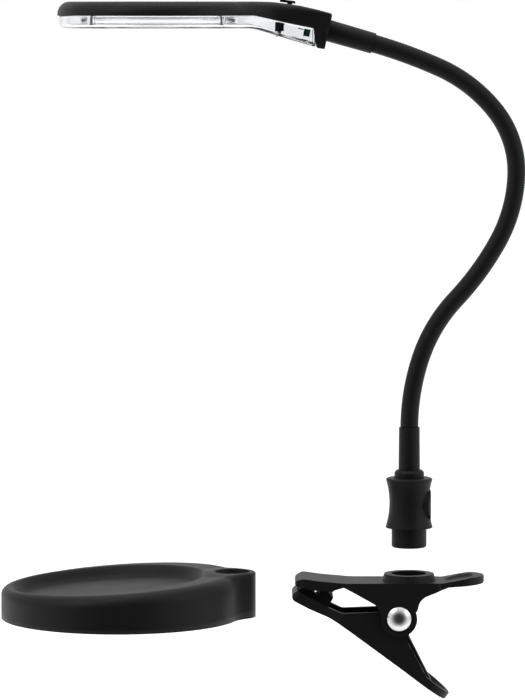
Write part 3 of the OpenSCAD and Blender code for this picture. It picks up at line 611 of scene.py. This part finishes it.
class LAMP_OT_head(bpy.types.Operator):
    """Builds the head's shell, its clear cover and the bosses between them"""
    bl_idname = "lamp.head"
    bl_label = "Head"

    shell_end = 112.4 * MM    # from the ring's centre to the end of the neck, at the height slant_at
    slant_at = 1.6 * MM
    slant = 0.224             # how far the shell's end leans for each unit of height
    cover_end = 101.5 * MM
    corner = 2.2 * MM         # radius of the neck's corners in plan
    parting_gap = 0.05 * MM

    # Side outlines in millimetres from the ring's centre and the parting line
    top = ((0, 9), (62, 9), (70.5, 8.9), (75.7, 8.5), (83.5, 7.5), (91.3, 6.4), (101.7, 4.1),
           (112.6, 1.2))
    parting = ((0, 0), (63, 0), (80.9, -4.2), (101.5, -8.3), (101.9, -20.6), (107.2, -21.4),
               (112.6, -21.4))
    bottom = ((0, -8.1), (59, -8.1), (65, -9.2), (81.5, -14.3), (101.5, -20.2))

    def execute(self, context):
        size = context.scene.lamp_head
        lens_low, lens_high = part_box("magnifier_lens")
        origin = np.array([(lens_low.x + lens_high.x) / 2, 0,
                           (lens_low.z + lens_high.z) / 2 + 0.25 * MM])
        shell = self.shell(size, origin)
        cover = self.cover(size, origin)
        bosses = self.bosses("head_bosses", "black_plastic", size, origin, 0.05, 7, True)
        pillars = self.bosses("cover_pillars", "clear_plastic", size, origin, -6.2, -0.05, False)
        for piece, finish in ((shell, "black_plastic"), (cover, "clear_plastic"),
                              (bosses, "black_plastic"), (pillars, "clear_plastic")):
            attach(piece, "head")
        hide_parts("head_shell")
        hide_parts("head_cover")
        return {"FINISHED"}

    def along(self, curve, x):
        """Height of a side outline at the places x."""
        xs, zs = np.array(curve, float).T * MM
        return np.interp(x, xs, zs)

    def outline(self, size, inset, end):
        """Half the plan: the ring's arc, a cubic that leaves it along its tangent and ends along the
        neck, the neck's side, a corner arc and half the neck's end."""
        radius, half = size.radius - inset, size.neck_width / 2 - inset
        leave = math.asin((size.flare_width / 2 - inset) / radius)
        start = np.array([math.cos(leave), math.sin(leave)]) * radius
        stop = np.array([size.flare_end, half])
        pull = np.linalg.norm(stop - start)
        t = np.linspace(0, 1, 20)[1:, None]
        flare = ((2 * t**3 - 3 * t**2 + 1) * start + (3 * t**2 - 2 * t**3) * stop
                 + (t**3 - 2 * t**2 + t) * pull * np.array([math.sin(leave), -math.cos(leave)])
                 + (t**3 - t**2) * pull * np.array([1.0, 0.0]))
        corner = self.corner
        side = np.linspace(stop, (end - corner, half), 12)[1:]
        tip = np.linspace((end, half - corner), (end, 0), 8)[1:]
        return mirrored(np.concatenate([
            arc((0, 0), radius, 180, math.degrees(leave), 96), flare, side,
            arc((end - corner, half - corner), corner, 90, 0, 6)[1:], tip]))

    def rows(self, size, outline, rounding, face, rim, sign):
        """Rows up a wall from rim to face, over the edge in a quarter circle, in to the lens's
        opening along the face, and back along the opening's wall. sign is 1 for the shell, whose
        face is over its rim, and -1 for the cover."""
        rows, heights = [], []
        edge = face(outline) - sign * rounding
        for up in np.linspace(0, 1, 6):
            rows.append(outline)
            heights.append(rim(outline) + (edge - rim(outline)) * up)
        for turn in np.radians(np.linspace(0, 90, 9))[1:]:
            row = drawn_in(outline, rounding * (1 - math.cos(turn)))
            rows.append(row)
            heights.append(face(row) - sign * rounding * (1 - math.sin(turn)))
        start = rows[-1]
        angle = np.arctan2(start[:, 1], start[:, 0])
        opening = np.stack([np.cos(angle), np.sin(angle)], -1) * size.opening
        for t in np.linspace(0, 1, 13)[1:]:
            row = start + (opening - start) * t
            rows.append(row)
            heights.append(face(row))
        last = face(opening)
        for t in (0.08, 0.5, 1):
            rows.append(opening)
            heights.append(last + (sign * size.wall - last) * t)
        return np.array(rows), np.array(heights)

    def shell(self, size, origin):
        """The shell, whose end is cut to the neck's slanting end face."""
        outline = self.outline(size, 0, self.shell_end)
        rounding = np.interp(outline[:, 0], (60 * MM, 82 * MM, 108 * MM), (8 * MM, 5 * MM, 1.6 * MM))
        plan, height = self.rows(size, outline, rounding,
                                 lambda xy: self.along(self.top, xy[:, 0]),
                                 lambda xy: self.along(self.parting, xy[:, 0]), 1)
        end = self.shell_end + (height - self.slant_at) * self.slant
        plan[..., 0] = np.minimum(plan[..., 0], end)
        points = np.concatenate([plan, height[..., None]], -1) + origin
        shell = new_piece("head_shell_body", points.reshape(-1, 3),
                          grid_faces(*height.shape, close_cols=True),
                          finishes["black_plastic"], inside=origin)
        return thicken(shell, size.wall)

    def cover(self, size, origin):
        """The clear cover, under the parting line."""
        outline = self.outline(size, size.inset, self.cover_end)
        rounding = np.interp(outline[:, 0], (60 * MM, 90 * MM), (4 * MM, 1.2 * MM))
        plan, height = self.rows(size, outline, rounding,
                                 lambda xy: self.along(self.bottom, xy[:, 0]),
                                 lambda xy: self.along(self.parting, xy[:, 0]) - self.parting_gap, -1)
        points = np.concatenate([plan, height[..., None]], -1) + origin
        cover = new_piece("head_cover_body", points.reshape(-1, 3),
                          grid_faces(*height.shape, close_cols=True),
                          finishes["clear_plastic"], inside=origin)
        return thicken(cover, size.wall)

    def bosses(self, name, finish, size, origin, low, high, neck):
        """Closed revolves on the four ring screws' axes, and one in the neck if it's asked for."""
        ring = (size.radius + size.opening + 2.5 * MM) / 2 * math.sqrt(0.5)
        places = [(x, y, 2.6, low, high) for x in (-ring, ring) for y in (-ring, ring)]
        if neck:
            places.append((78.2 * MM, 0, 3, -10, 6.2))
        clouds, faces, count = [], [], 0
        for x, y, radius, start, stop in places:
            profile = np.array([(0, start), (radius, start), (radius, stop), (0, stop)]) * (MM, MM)
            cloud = revolve(profile, (x, y), 24).reshape(-1, 3) + origin
            faces.append(grid_faces(4, 24, close_cols=True) + count)
            clouds.append(cloud)
            count += len(cloud)
        return new_piece(name, np.concatenate(clouds), np.concatenate(faces),
                         finishes[finish], smooth=False, inside=origin)


class LAMP_OT_stage(bpy.types.Operator):
    """Sets out the floor, the soft lights and the camera"""
    bl_idname = "lamp.stage"
    bl_label = "Stage"

    def execute(self, context):
        size = context.scene.lamp_stage
        self.floor(size)
        self.camera(context, size)
        self.lights(context, size)
        return {"FINISHED"}

    def floor(self, size):
        """A sheet that runs flat and then up behind along a quarter circle."""
        low = cad_box[0][2] - size.floor_drop
        bend = 1.5
        turn = np.linspace(0, np.pi / 2, 24)
        y = np.concatenate([[-0.16], 3.0 + bend * np.sin(turn), [3.0 + bend]])
        z = np.concatenate([[0.0], bend * (1 - np.cos(turn)), [bend + 5.0]]) + low
        x = np.array([-8.0, 8.0])
        grid = np.stack([np.repeat(x[None], len(y), 0), np.repeat(y[:, None], 2, 1),
                         np.repeat(z[:, None], 2, 1)], axis=-1)
        s = Shader("pale_floor", Roughness=0.9, Emission_Color=(1, 1, 1, 1), Emission_Strength=0.3)
        light = tuple(size.floor_color)
        s.feed(Base_Color=s.mix(s.noise(0.4), tuple(c * 0.985 for c in light), light))
        sheet = new_piece("floor", grid.reshape(-1, 3), grid_faces(len(y), 2), s.material)

    def camera(self, context, size):
        data = bpy.data.cameras.new("camera")
        data.lens = size.lens
        data.clip_end = 60
        camera = bpy.data.objects.new("camera", data)
        camera.location = (size.aim_x, -size.distance, size.eye_height)
        down = math.atan2(size.eye_height - size.aim_z, size.distance)
        camera.rotation_euler = (math.pi / 2 - down, 0, 0)
        context.scene.collection.objects.link(camera)
        context.scene.camera = camera

    def lights(self, context, size):
        context.scene.view_settings.view_transform = "Standard"
        world = bpy.data.worlds.new("soft_room")
        world.use_nodes = True
        tree = world.node_tree
        room = tree.nodes["Background"]
        room.inputs["Strength"].default_value = 1.0
        # White overhead and at the sides, and dark in front, as a studio is round its camera
        spot = tree.nodes.new("ShaderNodeTexCoord")
        split = tree.nodes.new("ShaderNodeSeparateXYZ")
        ramp = tree.nodes.new("ShaderNodeMapRange")
        ramp.interpolation_type = "SMOOTHSTEP"
        for key, value in (("From Min", -0.95), ("From Max", -0.45), ("To Min", 0.03), ("To Max", 1.0)):
            ramp.inputs[key].default_value = value
        tree.links.new(spot.outputs["Generated"], split.inputs[0])
        tree.links.new(split.outputs["Y"], ramp.inputs["Value"])
        # What the camera itself sees of the room is white
        seen = tree.nodes.new("ShaderNodeLightPath")
        either = tree.nodes.new("ShaderNodeMath")
        either.operation = "MAXIMUM"
        tree.links.new(ramp.outputs["Result"], either.inputs[0])
        tree.links.new(seen.outputs["Is Camera Ray"], either.inputs[1])
        tree.links.new(either.outputs[0], room.inputs["Color"])
        context.scene.world = world
        for name, place, side, power in (
            ("key", (-1.6, -1.2, 2.0), 1.4, 14),
            ("fill", (1.9, -1.0, 1.1), 1.4, 7),
            ("top", (-0.1, 0.3, 2.4), 2.0, 18),
        ):
            data = bpy.data.lights.new(name, "AREA")
            data.size, data.energy = side, power
            lamp = bpy.data.objects.new(name, data)
            lamp.location = place
            aim = np.array([size.aim_x, 0, size.aim_z]) - np.array(place)
            lamp.rotation_euler = (math.acos(-aim[2] / np.linalg.norm(aim)), 0,
                                   math.atan2(aim[1], aim[0]) - math.pi / 2)
            context.scene.collection.objects.link(lamp)


class LAMP_PT_panel(bpy.types.Panel):
    """The lamp's steps and settings"""
    bl_idname = "LAMP_PT_panel"
    bl_label = "Reading lamp"
    bl_space_type = "VIEW_3D"
    bl_region_type = "UI"
    bl_category = "Reading lamp"

    def draw(self, context):
        for operator in OPERATORS:
            self.layout.operator(operator.bl_idname)
        scene = context.scene
        for group in (scene.lamp_neck, scene.lamp_head, scene.lamp_base, scene.lamp_stage):
            for key in group.__annotations__:
                self.layout.prop(group, key)


GROUPS = (LampNeck, LampHead, LampBase, LampStage)
OPERATORS = (LAMP_OT_stage, LAMP_OT_finishes, LAMP_OT_neck, LAMP_OT_head, LAMP_OT_base)


def register():
    for kind in (*GROUPS, *OPERATORS, LAMP_PT_panel):
        bpy.utils.register_class(kind)
    bpy.types.Scene.lamp_neck = bpy.props.PointerProperty(type=LampNeck)
    bpy.types.Scene.lamp_head = bpy.props.PointerProperty(type=LampHead)
    bpy.types.Scene.lamp_base = bpy.props.PointerProperty(type=LampBase)
    bpy.types.Scene.lamp_stage = bpy.props.PointerProperty(type=LampStage)


def unregister():
    del bpy.types.Scene.lamp_neck
    del bpy.types.Scene.lamp_head
    del bpy.types.Scene.lamp_base
    del bpy.types.Scene.lamp_stage
    for kind in reversed((*GROUPS, *OPERATORS, LAMP_PT_panel)):
        bpy.utils.unregister_class(kind)


def main():
    register()
    bpy.ops.lamp.stage()
    bpy.ops.lamp.finishes()
    bpy.ops.lamp.neck()
    bpy.ops.lamp.head()
    bpy.ops.lamp.base()


if __name__ == "__main__":
    main()
